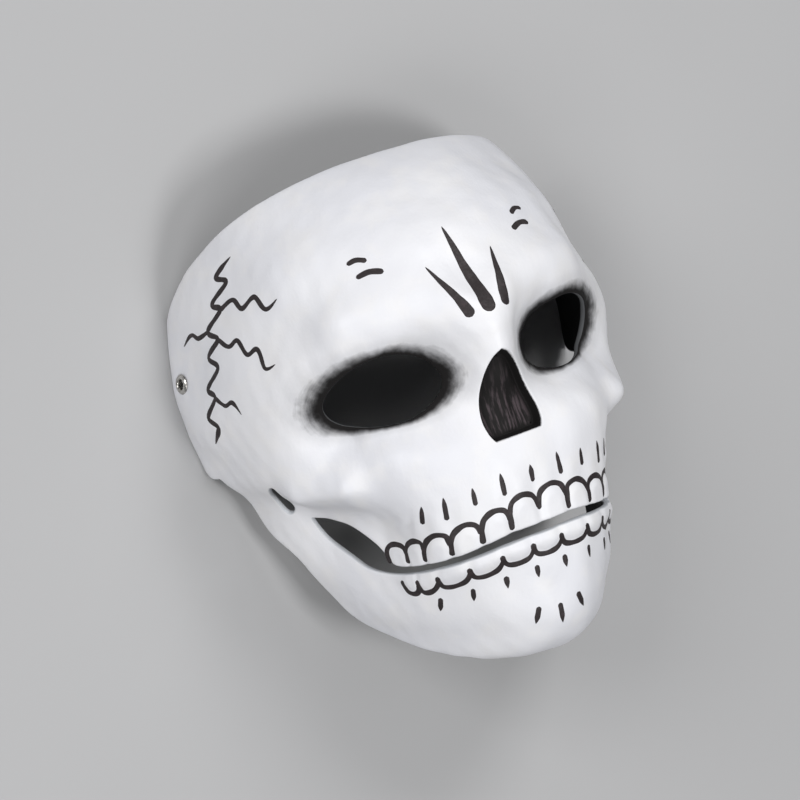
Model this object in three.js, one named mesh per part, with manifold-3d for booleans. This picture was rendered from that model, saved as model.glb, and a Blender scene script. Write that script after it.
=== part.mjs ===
// Skull mask: one thin moulded shell with pierced eyes, mouth and cheek slits, and two strap eyelets.
// Millimetres. X runs across the face, Y towards the crown, Z out of the face. It lies on its rear rim.
// Heights along the face count from the nose bridge.
import * as THREE from 'three';
import { mergeVertices } from 'three/addons/utils/BufferGeometryUtils.js';
import Module from 'manifold-3d';

const wasm = await Module();
wasm.setup();

// Driving sizes of the shell
const MASK_WIDTH = 185;
const MASK_HEIGHT = 213;
const FACE_DEPTH = 106;
const WALL = 2.2;

// Eye holes
const EYE_SPACING = 81;
const EYE_WIDTH = 43;
const EYE_HEIGHT = 26.5;
const EYE_DROP = 7.6;
const EYE_TILT = 7;

// Nose pocket
const NOSE_WIDTH = 25;
const NOSE_HEIGHT = 34.5;
const NOSE_DROP = 5;
const NOSE_RECESS = 6;

// Mouth: a slit that widens and climbs at both corners
const MOUTH_WIDTH = 133;
const MOUTH_DROP = 77.6;
const SLIT_OPENING = 3.8;
const CORNER_CLIMB = 28.4;
const CORNER_OPENING = 7;

// Slit below each cheekbone, measured in the side view
const CHEEK_SLIT_LENGTH = 16.5;
const CHEEK_SLIT_WIDTH = 6;
const CHEEK_SLIT_DROP = 38.6;
const CHEEK_SLIT_RISE = 36.8;
const CHEEK_SLIT_TILT = 39;

// Strap eyelets in the temples
const EYELET_BORE = 4.2;
const EYELET_BARREL = 5.2;
const EYELET_FLANGE = 8.4;
const EYELET_LIP = 0.8;
const EYELET_ABOVE_BRIDGE = 17.5;
const EYELET_ABOVE_RIM = 8;
const CLEARANCE = 0.3;

// Facets of the shell
const TURN_LIMIT = THREE.MathUtils.degToRad(88);
const TURN_STEPS = 40;
const STEPS_PER_SECTION = 3;
const SPLINE_STEPS = 3;
const EDGE_STEPS = 6;
const ELLIPSE_STEPS = 14;
const RING_SIDES = 16;
const POCKET_TURN_STEPS = 10;
const POCKET_STATION_STEPS = 12;

// Cutters run this far past the shell, and up to this height
const OVERRUN = 20;
const CUT_TOP = 2 * FACE_DEPTH;

// Slopes are taken over this step of turn or station; searches take this many passes
const SLOPE_STEP = 1e-3;
const SEARCH_PASSES = 30;
const SIDE_TURN = THREE.MathUtils.degToRad(80); // where a search from the side starts
const MERGE_DISTANCE = 1e-5;

const HALF_WIDTH = MASK_WIDTH / 2;

// Ribs of the face from the crown to the chin, each from its front point round to its side point.
// along: share of MASK_HEIGHT above the bridge; rise: share of FACE_DEPTH above the rear rim;
// half: share of half the width; square: 2 is an ellipse, more is boxier
const SECTIONS = [
  { frontAlong: 0.46, frontRise: 0.325, sideAlong: 0.46, sideRise: -0.15, half: 0.66, square: 2.2 },
  { frontAlong: 0.376, frontRise: 0.64, sideAlong: 0.357, sideRise: -0.15, half: 0.79, square: 2.2 },
  { frontAlong: 0.244, frontRise: 0.887, sideAlong: 0.235, sideRise: -0.15, half: 0.905, square: 2.25 },
  { frontAlong: 0.103, frontRise: 0.99, sideAlong: 0.103, sideRise: -0.15, half: 0.987, square: 2.3 },
  { frontAlong: 0, frontRise: 1, sideAlong: 0, sideRise: -0.15, half: 1, square: 2.65 },
  { frontAlong: -0.103, frontRise: 0.975, sideAlong: -0.085, sideRise: -0.15, half: 0.96, square: 2.73 },
  { frontAlong: -0.211, frontRise: 1.01, sideAlong: -0.16, sideRise: -0.15, half: 0.882, square: 2.46 },
  { frontAlong: -0.329, frontRise: 0.965, sideAlong: -0.244, sideRise: -0.15, half: 0.82, square: 2.27 },
  { frontAlong: -0.446, frontRise: 0.927, sideAlong: -0.329, sideRise: -0.15, half: 0.743, square: 2.15 },
  { frontAlong: -0.54, frontRise: 0.863, sideAlong: -0.394, sideRise: -0.13, half: 0.697, square: 1.9 },
  { frontAlong: -0.597, frontRise: 0.775, sideAlong: -0.451, sideRise: -0.085, half: 0.61, square: 1.9 },
  { frontAlong: -0.607, frontRise: 0.6, sideAlong: -0.488, sideRise: -0.04, half: 0.52, square: 1.9 },
];

// Bones and hollows raised or sunk along a short line, on both halves of the face.
// across: share of half the width; along and rise as above; reach: share of the width;
// lift: share of FACE_DEPTH, below zero for a hollow
const FORMS = {
  brow: { across: [0.15, 0.54], along: [0.085, 0.103], rise: [0.96, 0.85], reach: 0.07, lift: 0.043 },
  noseBridge: { across: [0, 0], along: [0.019, -0.056], rise: [1, 1], reach: 0.08, lift: 0.09 },
  cheekbone: { across: [0.665, 0.755], along: [-0.18, -0.171], rise: [0.67, 0.5], reach: 0.052, lift: 0.087 },
  cheekHollow: { across: [0.63, 0.67], along: [-0.3, -0.26], rise: [0.62, 0.43], reach: 0.108, lift: -0.098 },
  upperJaw: { across: [0.11, 0.37], along: [-0.3, -0.32], rise: [0.98, 0.87], reach: 0.086, lift: 0.012 },
  chin: { across: [0, 0.17], along: [-0.554, -0.545], rise: [0.94, 0.9], reach: 0.076, lift: 0.019 },
  temple: { across: [0.84, 0.93], along: [0.085, 0.094], rise: [0.53, 0.245], reach: 0.097, lift: -0.021 },
  cheekArch: { across: [0.84, 0.93], along: [-0.15, -0.115], rise: [0.34, 0.04], reach: 0.049, lift: 0.019 },
};

// The orbits sink round the eye holes, wherever those are.
// across: share of EYE_WIDTH out from the hole's centre; down: share of EYE_HEIGHT below it
const ORBIT = { across: [-0.25, 0.4], down: [0.02, 0.24], rise: [0.906, 0.717], reach: 0.101, lift: -0.175 };

// Rear edge in the side view: along as above, rise as above
const REAR_EDGE = {
  crown: { along: 0.402, rise: 0.69 },
  crownPull: { along: 0.4015, rise: 0.545 },
  templePull: { along: 0.259, rise: 0 },
  templeTop: { along: 0.195, rise: 0 },
  templeTab: { along: -0.083, rise: 0 },
  tabCorner: { along: -0.114, rise: 0 },
  tabStep: { along: -0.114, rise: 0.085 },
  jaw: [
    { along: -0.155, rise: 0.119 },
    { along: -0.225, rise: 0.113 },
    { along: -0.291, rise: 0.175 },
    { along: -0.376, rise: 0.217 },
    { along: -0.455, rise: 0.29 },
    { along: -0.51, rise: 0.415 },
    { along: -0.56, rise: 0.56 },
    { along: -0.58, rise: 0.625 },
    { along: -0.63, rise: 0.69 },
  ],
};

// Centre line of half the mouth. across: share of half MOUTH_WIDTH; climb: share of CORNER_CLIMB;
// slit: share of SLIT_OPENING; corner: share of CORNER_OPENING
const MOUTH_LINE = [
  { across: 0, climb: 0, slit: 1, corner: 0 },
  { across: 0.24, climb: 0, slit: 1, corner: 0 },
  { across: 0.39, climb: -0.036, slit: 0.85, corner: 0 },
  { across: 0.53, climb: -0.063, slit: 0.75, corner: 0 },
  { across: 0.67, climb: -0.061, slit: 0.6, corner: 0.05 },
  { across: 0.745, climb: 0, slit: 0, corner: 0.45 },
  { across: 0.79, climb: 0.15, slit: 0, corner: 0.85 },
  { across: 0.83, climb: 0.39, slit: 0, corner: 1 },
  { across: 0.89, climb: 0.665, slit: 0, corner: 0.9 },
  { across: 0.95, climb: 0.87, slit: 0, corner: 0.5 },
  { across: 1, climb: 1, slit: 0, corner: 0 },
];

// Half of the nose outline. across: share of half NOSE_WIDTH; down: share of NOSE_HEIGHT
const NOSE_SIDE = [
  { across: 0, down: 0 },
  { across: 0.3, down: 0.07 },
  { across: 0.58, down: 0.22 },
  { across: 0.82, down: 0.45 },
  { across: 0.99, down: 0.72 },
  { across: 0.96, down: 0.9 },
  { across: 0.84, down: 1 },
];

function catmullRom(a, b, c, d, t) {
  return 0.5 * (2 * b + (c - a) * t + (2 * a - 5 * b + 4 * c - d) * t * t + (3 * b - a - 3 * c + d) * t ** 3);
}

// Value of one column of the section table at a station between its rows
function sectionValue(column, station) {
  const last = SECTIONS.length - 1;
  const row = Math.min(Math.max(Math.floor(station), 0), last - 1);
  const here = SECTIONS[row][column];
  const next = SECTIONS[row + 1][column];
  const before = row > 0 ? SECTIONS[row - 1][column] : 2 * here - next;
  const after = row + 2 <= last ? SECTIONS[row + 2][column] : 2 * next - here;
  return catmullRom(before, here, next, after, station - row);
}

// The face without bones: turn 0 is the midline, a quarter turn is the side
function plainFace(turn, station) {
  const square = sectionValue('square', station);
  const sine = Math.sin(turn);
  const cosine = Math.cos(turn);
  const radius = (Math.abs(sine) ** square + Math.abs(cosine) ** square) ** (-1 / square);
  const front = radius * cosine;
  const sideAlong = sectionValue('sideAlong', station);
  const sideRise = sectionValue('sideRise', station);
  return new THREE.Vector3(
    HALF_WIDTH * sectionValue('half', station) * radius * sine,
    MASK_HEIGHT * (sideAlong + (sectionValue('frontAlong', station) - sideAlong) * front),
    FACE_DEPTH * (sideRise + (sectionValue('frontRise', station) - sideRise) * front),
  );
}

function surfaceNormal(surface, turn, station) {
  const acrossFace = surface(turn + SLOPE_STEP, station).sub(surface(turn - SLOPE_STEP, station));
  const downFace = surface(turn, station + SLOPE_STEP).sub(surface(turn, station - SLOPE_STEP));
  return downFace.cross(acrossFace).normalize();
}

function formLine(form) {
  return [0, 1].map((end) => new THREE.Vector3(
    form.across[end] * HALF_WIDTH, form.along[end] * MASK_HEIGHT, form.rise[end] * FACE_DEPTH));
}

function orbitLine() {
  return [0, 1].map((end) => new THREE.Vector3(
    EYE_SPACING / 2 + ORBIT.across[end] * EYE_WIDTH,
    -EYE_DROP - ORBIT.down[end] * EYE_HEIGHT,
    ORBIT.rise[end] * FACE_DEPTH));
}

const RELIEF = [
  ...Object.values(FORMS).map((form) => ({ line: formLine(form), reach: form.reach, lift: form.lift })),
  { line: orbitLine(), reach: ORBIT.reach, lift: ORBIT.lift },
];

function reliefAt(point) {
  const mirrored = new THREE.Vector3(Math.abs(point.x), point.y, point.z);
  const nearest = new THREE.Vector3();
  let height = 0;
  for (const { line, reach, lift } of RELIEF) {
    new THREE.Line3(line[0], line[1]).closestPointToPoint(mirrored, true, nearest);
    const away = mirrored.distanceTo(nearest) / (reach * MASK_WIDTH);
    height += lift * FACE_DEPTH * Math.exp(-away * away);
  }
  return height;
}

function face(turn, station) {
  const point = plainFace(turn, station);
  return point.addScaledVector(surfaceNormal(plainFace, turn, station), reliefAt(point));
}

// Booleans work on merged, closed meshes
function toSolid(geometry) {
  const plain = geometry.clone();
  plain.deleteAttribute('normal');
  plain.deleteAttribute('uv');
  const merged = mergeVertices(plain, MERGE_DISTANCE);
  return new wasm.Manifold(new wasm.Mesh({
    numProp: 3,
    vertProperties: new Float32Array(merged.attributes.position.array),
    triVerts: new Uint32Array(merged.index.array),
  }));
}

function toGeometry(solid) {
  const mesh = solid.getMesh();
  const geometry = new THREE.BufferGeometry();
  geometry.setAttribute('position', new THREE.BufferAttribute(new Float32Array(mesh.vertProperties), 3));
  geometry.setIndex(new THREE.BufferAttribute(new Uint32Array(mesh.triVerts), 1));
  geometry.computeVertexNormals();
  return geometry;
}

// A closed solid between two sheets that follow a patch of the face
function sheetSolid({ turns, stations, turnSteps, stationSteps, topside, underside }) {
  const points = [[], []];
  for (let i = 0; i <= stationSteps; i += 1) {
    for (let j = 0; j <= turnSteps; j += 1) {
      const turn = THREE.MathUtils.lerp(turns[0], turns[1], j / turnSteps);
      const station = THREE.MathUtils.lerp(stations[0], stations[1], i / stationSteps);
      const point = face(turn, station);
      const normal = surfaceNormal(face, turn, station);
      points[0].push(topside(point, normal));
      points[1].push(underside(point, normal));
    }
  }
  const columns = turnSteps + 1;
  const under = points[0].length;
  const at = (i, j) => i * columns + j;
  const triangles = [];
  const quad = (a, b, c, d) => triangles.push(a, b, c, a, c, d);
  for (let i = 0; i < stationSteps; i += 1) {
    for (let j = 0; j < turnSteps; j += 1) {
      quad(at(i, j), at(i + 1, j), at(i + 1, j + 1), at(i, j + 1));
      quad(under + at(i, j), under + at(i, j + 1), under + at(i + 1, j + 1), under + at(i + 1, j));
    }
    quad(at(i + 1, 0), at(i, 0), under + at(i, 0), under + at(i + 1, 0));
    quad(at(i, turnSteps), at(i + 1, turnSteps), under + at(i + 1, turnSteps), under + at(i, turnSteps));
  }
  for (let j = 0; j < turnSteps; j += 1) {
    quad(at(0, j), at(0, j + 1), under + at(0, j + 1), under + at(0, j));
    const end = at(stationSteps, j);
    quad(end + 1, end, under + end, under + end + 1);
  }
  return new wasm.Manifold(new wasm.Mesh({
    numProp: 3,
    vertProperties: new Float32Array(points.flat().flatMap((point) => point.toArray())),
    triVerts: new Uint32Array(triangles),
  }));
}

function extrudeUp(shape, from, to, curveSegments = SPLINE_STEPS) {
  const geometry = new THREE.ExtrudeGeometry(shape, { depth: to - from, bevelEnabled: false, curveSegments });
  geometry.translate(0, 0, from);
  return geometry;
}

// The shape is drawn in the side view, its x along the face and its y rising, and runs along X
function extrudeAcross(shape, from, to, curveSegments) {
  const axes = new THREE.Matrix4().makeBasis(
    new THREE.Vector3(0, 1, 0), new THREE.Vector3(0, 0, 1), new THREE.Vector3(1, 0, 0));
  return extrudeUp(shape, from, to, curveSegments).applyMatrix4(axes);
}

function rearEdgeShape() {
  const at = ({ along, rise }) => new THREE.Vector2(along * MASK_HEIGHT, rise * FACE_DEPTH);
  const shape = new THREE.Shape();
  const crown = at(REAR_EDGE.crown);
  const crownPull = at(REAR_EDGE.crownPull);
  const templePull = at(REAR_EDGE.templePull);
  const templeTop = at(REAR_EDGE.templeTop);
  const templeTab = at(REAR_EDGE.templeTab);
  const tabCorner = at(REAR_EDGE.tabCorner);
  const tabStep = at(REAR_EDGE.tabStep);
  const jaw = REAR_EDGE.jaw.map(at);
  shape.moveTo(jaw[jaw.length - 1].x, CUT_TOP);
  shape.lineTo(crown.x, CUT_TOP);
  shape.lineTo(crown.x, crown.y);
  shape.bezierCurveTo(crownPull.x, crownPull.y, templePull.x, templePull.y, templeTop.x, templeTop.y);
  shape.lineTo(templeTab.x, templeTab.y);
  shape.quadraticCurveTo(tabCorner.x, tabCorner.y, tabStep.x, tabStep.y);
  shape.lineTo(jaw[0].x, jaw[0].y);
  shape.splineThru(jaw.slice(1));
  shape.closePath();
  return shape;
}

function eyeShape(side) {
  const shape = new THREE.Shape();
  const tilt = THREE.MathUtils.degToRad(side * EYE_TILT);
  shape.absellipse(
    side * EYE_SPACING / 2, -EYE_DROP, EYE_WIDTH / 2, EYE_HEIGHT / 2, 0, 2 * Math.PI, false, tilt);
  return shape;
}

function noseShape(grow) {
  const middle = -NOSE_DROP - NOSE_HEIGHT / 2;
  const across = 1 + 2 * grow / NOSE_WIDTH;
  const down = 1 + 2 * grow / NOSE_HEIGHT;
  const side = NOSE_SIDE.map((point) => new THREE.Vector2(
    point.across * across * NOSE_WIDTH / 2, middle + (0.5 - point.down) * down * NOSE_HEIGHT));
  const other = side.slice(1).map((point) => new THREE.Vector2(-point.x, point.y)).reverse();
  const shape = new THREE.Shape();
  shape.moveTo(side[0].x, side[0].y);
  shape.splineThru(side.slice(1));
  shape.lineTo(other[0].x, other[0].y);
  shape.splineThru([...other.slice(1), side[0]]);
  return shape;
}

// The mouth's centre line is widened to both sides by half its opening
function mouthShape() {
  const centres = MOUTH_LINE.map((point) => new THREE.Vector2(
    point.across * MOUTH_WIDTH / 2, -MOUTH_DROP + point.climb * CORNER_CLIMB));
  const openings = MOUTH_LINE.map((point) => point.slit * SLIT_OPENING + point.corner * CORNER_OPENING);
  const last = centres.length - 1;
  const edge = (sign) => centres.map((centre, i) => {
    const before = i > 0 ? centres[i - 1] : new THREE.Vector2(-centres[1].x, centres[1].y);
    const along = centres[Math.min(i + 1, last)].clone().sub(before).normalize();
    return new THREE.Vector2(-along.y, along.x).multiplyScalar(sign * openings[i] / 2).add(centre);
  });
  const upper = edge(1);
  const lower = edge(-1);
  const mirror = (points) => points.map((point) => new THREE.Vector2(-point.x, point.y));
  const tip = centres[last];
  const otherTip = new THREE.Vector2(-tip.x, tip.y);
  const shape = new THREE.Shape();
  shape.moveTo(tip.x, tip.y);
  shape.splineThru([...upper.slice(0, last).reverse(), ...mirror(upper.slice(1, last)), otherTip]);
  shape.splineThru([...mirror(lower.slice(1, last)).reverse(), ...lower.slice(0, last), tip]);
  return shape;
}

function cheekSlitShape() {
  const shape = new THREE.Shape();
  shape.absellipse(
    -CHEEK_SLIT_DROP, CHEEK_SLIT_RISE, CHEEK_SLIT_LENGTH / 2, CHEEK_SLIT_WIDTH / 2,
    0, 2 * Math.PI, false, THREE.MathUtils.degToRad(CHEEK_SLIT_TILT));
  return shape;
}

// The face point seen from the side at a given place on the +X half, by Newton steps from near the side line
function findFromSide(along, rise) {
  let turn = SIDE_TURN;
  let station = SECTIONS.findIndex(({ sideAlong }) => sideAlong * MASK_HEIGHT < along);
  for (let pass = 0; pass < SEARCH_PASSES; pass += 1) {
    const here = face(turn, station);
    const byTurn = face(turn + SLOPE_STEP, station).sub(here).divideScalar(SLOPE_STEP);
    const byStation = face(turn, station + SLOPE_STEP).sub(here).divideScalar(SLOPE_STEP);
    const missY = along - here.y;
    const missZ = rise - here.z;
    const scale = byTurn.y * byStation.z - byStation.y * byTurn.z;
    turn += (missY * byStation.z - byStation.y * missZ) / scale;
    station += (byTurn.y * missZ - missY * byTurn.z) / scale;
  }
  return { point: face(turn, station), normal: surfaceNormal(face, turn, station) };
}

// Halves a range until it closes on where the face stops lying short of a wanted place
function search(low, high, liesShort) {
  for (let pass = 0; pass < SEARCH_PASSES; pass += 1) {
    const middle = (low + high) / 2;
    if (liesShort(middle)) low = middle;
    else high = middle;
  }
  return low;
}

const stationAt = (along) => search(0, SECTIONS.length - 1, (station) => face(0, station).y > along);
const turnAt = (across, station) => search(0, TURN_LIMIT, (turn) => face(turn, station).x < across);

// The nose pocket is a tray whose floor follows the face at the depth of the recess
function nosePocket() {
  const margin = NOSE_RECESS + WALL;
  const stations = [stationAt(-NOSE_DROP + margin), stationAt(-NOSE_DROP - NOSE_HEIGHT - margin)];
  const turn = Math.max(...stations.map((station) => turnAt(NOSE_WIDTH / 2 + margin, station)));
  const patch = {
    turns: [-turn, turn],
    stations,
    turnSteps: POCKET_TURN_STEPS,
    stationSteps: POCKET_STATION_STEPS,
  };
  const lowered = (depth) => (point) => point.clone().setZ(point.z - depth);
  const recess = sheetSolid({ ...patch, topside: lowered(-OVERRUN), underside: lowered(NOSE_RECESS) });
  const tray = sheetSolid({ ...patch, topside: lowered(WALL / 2), underside: lowered(NOSE_RECESS + WALL) });
  const column = (grow) => toSolid(extrudeUp(noseShape(grow), 0, CUT_TOP));
  return { recess: recess.intersect(column(0)), tray: tray.intersect(column(WALL)) };
}

function eyeletFrame(side) {
  const { point, normal } = findFromSide(EYELET_ABOVE_BRIDGE, EYELET_ABOVE_RIM);
  const axis = new THREE.Vector3(side * normal.x, normal.y, normal.z);
  const centre = new THREE.Vector3(side * point.x, point.y, point.z).addScaledVector(axis, -WALL / 2);
  return new THREE.Matrix4().compose(
    centre,
    new THREE.Quaternion().setFromUnitVectors(new THREE.Vector3(0, 1, 0), axis),
    new THREE.Vector3(1, 1, 1));
}

function maskShell() {
  const wall = sheetSolid({
    turns: [-TURN_LIMIT, TURN_LIMIT],
    stations: [0, SECTIONS.length - 1],
    turnSteps: TURN_STEPS,
    stationSteps: (SECTIONS.length - 1) * STEPS_PER_SECTION,
    topside: (point) => point,
    underside: (point, normal) => point.clone().addScaledVector(normal, -WALL),
  });
  const reach = MASK_WIDTH;
  let shell = wall.intersect(toSolid(extrudeAcross(rearEdgeShape(), -reach, reach, EDGE_STEPS)));

  const { recess, tray } = nosePocket();
  shell = shell.add(tray).subtract(recess);

  const cheekSlits = extrudeAcross(cheekSlitShape(), -reach, reach, ELLIPSE_STEPS);
  shell = shell.subtract(toSolid(cheekSlits));
  for (const side of [-1, 1]) {
    shell = shell.subtract(toSolid(extrudeUp(eyeShape(side), 0, CUT_TOP, ELLIPSE_STEPS)));
    const radius = EYELET_BARREL / 2 + CLEARANCE;
    const bore = new THREE.CylinderGeometry(radius, radius, OVERRUN, RING_SIDES);
    shell = shell.subtract(toSolid(bore.applyMatrix4(eyeletFrame(side))));
  }
  shell = shell.subtract(toSolid(extrudeUp(mouthShape(), 0, CUT_TOP)));
  return toGeometry(shell);
}

// A barrel through the wall with a flat flange on each face, turned round its own axis
function eyelet() {
  const seat = WALL / 2 + CLEARANCE;
  const top = seat + EYELET_LIP;
  const bore = EYELET_BORE / 2;
  const barrel = EYELET_BARREL / 2;
  const flange = EYELET_FLANGE / 2;
  const round = EYELET_LIP / 2;
  const half = [
    [barrel, seat],
    [flange, seat],
    [flange, seat + round],
    [flange - round, top],
    [bore + round, top],
    [bore, top - round],
  ];
  const profile = [
    ...half.map(([radius, height]) => new THREE.Vector2(radius, height)),
    ...half.map(([radius, height]) => new THREE.Vector2(radius, -height)).reverse(),
  ];
  profile.push(profile[0].clone());
  return toGeometry(toSolid(new THREE.LatheGeometry(profile, RING_SIDES)));
}

const resin = new THREE.MeshStandardMaterial({ color: 0xe8e8ee, roughness: 0.45, metalness: 0 });
const nickel = new THREE.MeshStandardMaterial({ color: 0xb9b7b2, roughness: 0.3, metalness: 1 });

function namedMesh(name, geometry, material) {
  const mesh = new THREE.Mesh(geometry, material);
  mesh.name = name;
  return mesh;
}

const mask = new THREE.Group();
mask.add(namedMesh('mask_shell', maskShell(), resin));
for (const [name, side] of [['eyelet_left', -1], ['eyelet_right', 1]]) {
  const ring = namedMesh(name, eyelet(), nickel);
  ring.applyMatrix4(eyeletFrame(side));
  mask.add(ring);
}

// The origin is the middle of the footprint, on the surface that the rear rim rests on
const bounds = new THREE.Box3().setFromObject(mask, true);
const middle = bounds.getCenter(new THREE.Vector3());
mask.position.set(-middle.x, -middle.y, -bounds.min.z);
mask.updateMatrixWorld(true);

export default mask;
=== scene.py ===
import math

import bpy
import numpy as np
from mathutils import Matrix, Vector
from mathutils.geometry import delaunay_2d_cdt


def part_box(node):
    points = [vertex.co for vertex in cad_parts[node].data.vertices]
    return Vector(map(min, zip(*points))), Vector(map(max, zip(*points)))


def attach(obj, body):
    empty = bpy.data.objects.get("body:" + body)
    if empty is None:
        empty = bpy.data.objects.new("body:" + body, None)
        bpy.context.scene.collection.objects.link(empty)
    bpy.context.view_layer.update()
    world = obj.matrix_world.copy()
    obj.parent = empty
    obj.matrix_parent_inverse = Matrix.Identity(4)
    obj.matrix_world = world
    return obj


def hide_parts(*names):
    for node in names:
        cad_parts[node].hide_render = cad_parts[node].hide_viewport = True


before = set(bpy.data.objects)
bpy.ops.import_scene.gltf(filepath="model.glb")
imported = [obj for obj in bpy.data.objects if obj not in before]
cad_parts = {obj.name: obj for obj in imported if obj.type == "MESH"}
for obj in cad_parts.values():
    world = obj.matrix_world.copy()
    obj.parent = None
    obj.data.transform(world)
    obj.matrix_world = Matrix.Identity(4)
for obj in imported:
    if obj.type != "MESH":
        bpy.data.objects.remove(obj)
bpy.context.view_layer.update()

MM = 0.001

# Sizes of the shell, as in the solids
MASK_WIDTH = 185
MASK_HEIGHT = 213
FACE_DEPTH = 106
WALL = 2.2
EYE_SPACING = 81
EYE_WIDTH = 43
EYE_HEIGHT = 26.5
EYE_DROP = 7.6
EYE_TILT = 7
NOSE_WIDTH = 25
NOSE_HEIGHT = 34.5
NOSE_DROP = 5
NOSE_RECESS = 6
MOUTH_WIDTH = 133
MOUTH_DROP = 77.6
SLIT_OPENING = 3.8
CORNER_CLIMB = 28.4
CORNER_OPENING = 7
CHEEK_SLIT_LENGTH = 16.5
CHEEK_SLIT_WIDTH = 6
CHEEK_SLIT_DROP = 38.6
CHEEK_SLIT_RISE = 36.8
CHEEK_SLIT_TILT = 39
EYELET_BORE = 4.2
EYELET_BARREL = 5.2
EYELET_FLANGE = 8.4
EYELET_LIP = 0.8
EYELET_ABOVE_BRIDGE = 17.5
EYELET_ABOVE_RIM = 8
EYELET_SIDES = 56
CLEARANCE = 0.3
HALF_WIDTH = MASK_WIDTH / 2

# Ribs of the face from the crown to the chin: how far along and how high their front and side points lie,
# as shares of MASK_HEIGHT and FACE_DEPTH, their half width as a share of HALF_WIDTH, and how boxy they are
SECTIONS = np.array([
    # front_along, front_rise, side_along, side_rise, half, square
    (0.46, 0.325, 0.46, -0.15, 0.66, 2.2),
    (0.376, 0.64, 0.357, -0.15, 0.79, 2.2),
    (0.244, 0.887, 0.235, -0.15, 0.905, 2.25),
    (0.103, 0.99, 0.103, -0.15, 0.987, 2.3),
    (0, 1, 0, -0.15, 1, 2.65),
    (-0.103, 0.975, -0.085, -0.15, 0.96, 2.73),
    (-0.211, 1.01, -0.16, -0.15, 0.882, 2.46),
    (-0.329, 0.965, -0.244, -0.15, 0.82, 2.27),
    (-0.446, 0.927, -0.329, -0.15, 0.743, 2.15),
    (-0.54, 0.863, -0.394, -0.13, 0.697, 1.9),
    (-0.597, 0.775, -0.451, -0.085, 0.61, 1.9),
    (-0.607, 0.6, -0.488, -0.04, 0.52, 1.9),
])

# Bones and hollows along short lines: across as a share of HALF_WIDTH, along of MASK_HEIGHT, rise and
# lift of FACE_DEPTH, reach of MASK_WIDTH
FORMS = [
    # across, along and rise at both ends, reach, lift
    ((0.15, 0.085, 0.96), (0.54, 0.103, 0.85), 0.07, 0.043),  # brow
    ((0, 0.019, 1), (0, -0.056, 1), 0.08, 0.09),  # nose bridge
    ((0.665, -0.18, 0.67), (0.755, -0.171, 0.5), 0.052, 0.087),  # cheekbone
    ((0.63, -0.3, 0.62), (0.67, -0.26, 0.43), 0.108, -0.098),  # hollow below it
    ((0.11, -0.3, 0.98), (0.37, -0.32, 0.87), 0.086, 0.012),  # upper jaw
    ((0, -0.554, 0.94), (0.17, -0.545, 0.9), 0.076, 0.019),  # chin
    ((0.84, 0.085, 0.53), (0.93, 0.094, 0.245), 0.097, -0.021),  # temple
    ((0.84, -0.15, 0.34), (0.93, -0.115, 0.04), 0.049, 0.019),  # cheek arch
]
# The orbit's line: across as a share of EYE_WIDTH out from the hole, down of EYE_HEIGHT, rise of FACE_DEPTH
ORBIT = ((-0.25, 0.02, 0.906), (0.4, 0.24, 0.717), 0.101, -0.175)

# Rear edge in the side view, as shares of MASK_HEIGHT and FACE_DEPTH
CROWN, CROWN_PULL, TEMPLE_PULL, TEMPLE_TOP = (0.402, 0.69), (0.4015, 0.545), (0.259, 0), (0.195, 0)
TEMPLE_TAB, TAB_CORNER, TAB_STEP = (-0.083, 0), (-0.114, 0), (-0.114, 0.085)
JAW = [(-0.155, 0.119), (-0.225, 0.113), (-0.291, 0.175), (-0.376, 0.217), (-0.455, 0.29), (-0.51, 0.415),
       (-0.56, 0.56), (-0.58, 0.625), (-0.63, 0.69)]

# Half of the mouth's centre line: shares of half MOUTH_WIDTH, CORNER_CLIMB, SLIT_OPENING, CORNER_OPENING
MOUTH_LINE = np.array([
    # across, climb, slit, corner
    (0, 0, 1, 0), (0.24, 0, 1, 0), (0.39, -0.036, 0.85, 0), (0.53, -0.063, 0.75, 0),
    (0.67, -0.061, 0.6, 0.05), (0.745, 0, 0, 0.45), (0.79, 0.15, 0, 0.85), (0.83, 0.39, 0, 1),
    (0.89, 0.665, 0, 0.9), (0.95, 0.87, 0, 0.5), (1, 1, 0, 0),
])
# Half of the nose outline: shares of half NOSE_WIDTH and of NOSE_HEIGHT
NOSE_SIDE = [(0, 0), (0.3, 0.07), (0.58, 0.22), (0.82, 0.45), (0.99, 0.72), (0.96, 0.9), (0.84, 1)]

# How finely the skin is meshed, in millimetres
MESH_STEP = 1.5
FINE_STEP = 0.85
LOOP_STEP = 1.0
LIP_BULGE = 0.75
LIP_STEPS = 6
LIP_SQUARE = 0.6
FINE_ZONE = (56, -97, -53)  # half its width, lowest and highest point along the face
TURN_LIMIT = math.radians(88)
STEP = 1e-3
CLOSE = 1e-5


def unit(vectors):
    return vectors / np.linalg.norm(vectors, axis=-1, keepdims=True)


def length_along(points):
    """How far along a line of points each of them lies."""
    return np.concatenate([[0], np.cumsum(np.linalg.norm(np.diff(points, axis=0), axis=1))])


def sample(line, length, at):
    """A line's columns at chosen lengths along it."""
    return np.stack([np.interp(at, length, column) for column in line.T], 1)


def smooth(low, high, values):
    t = np.clip((values - low) / (high - low), 0, 1)
    return t * t * (3 - 2 * t)


def catmull_rom(a, b, c, d, t):
    return 0.5 * (2 * b + (c - a) * t + (2 * a - 5 * b + 4 * c - d) * t**2 + (3 * b - a - 3 * c + d) * t**3)


def section_values(station):
    padded = np.vstack([2 * SECTIONS[0] - SECTIONS[1], SECTIONS, 2 * SECTIONS[-1] - SECTIONS[-2]])
    row = np.clip(np.floor(station).astype(int), 0, len(SECTIONS) - 2)
    t = (station - row)[..., None]
    a, b, c, d = (padded[row + k] for k in range(4))
    return catmull_rom(a, b, c, d, t)


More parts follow.
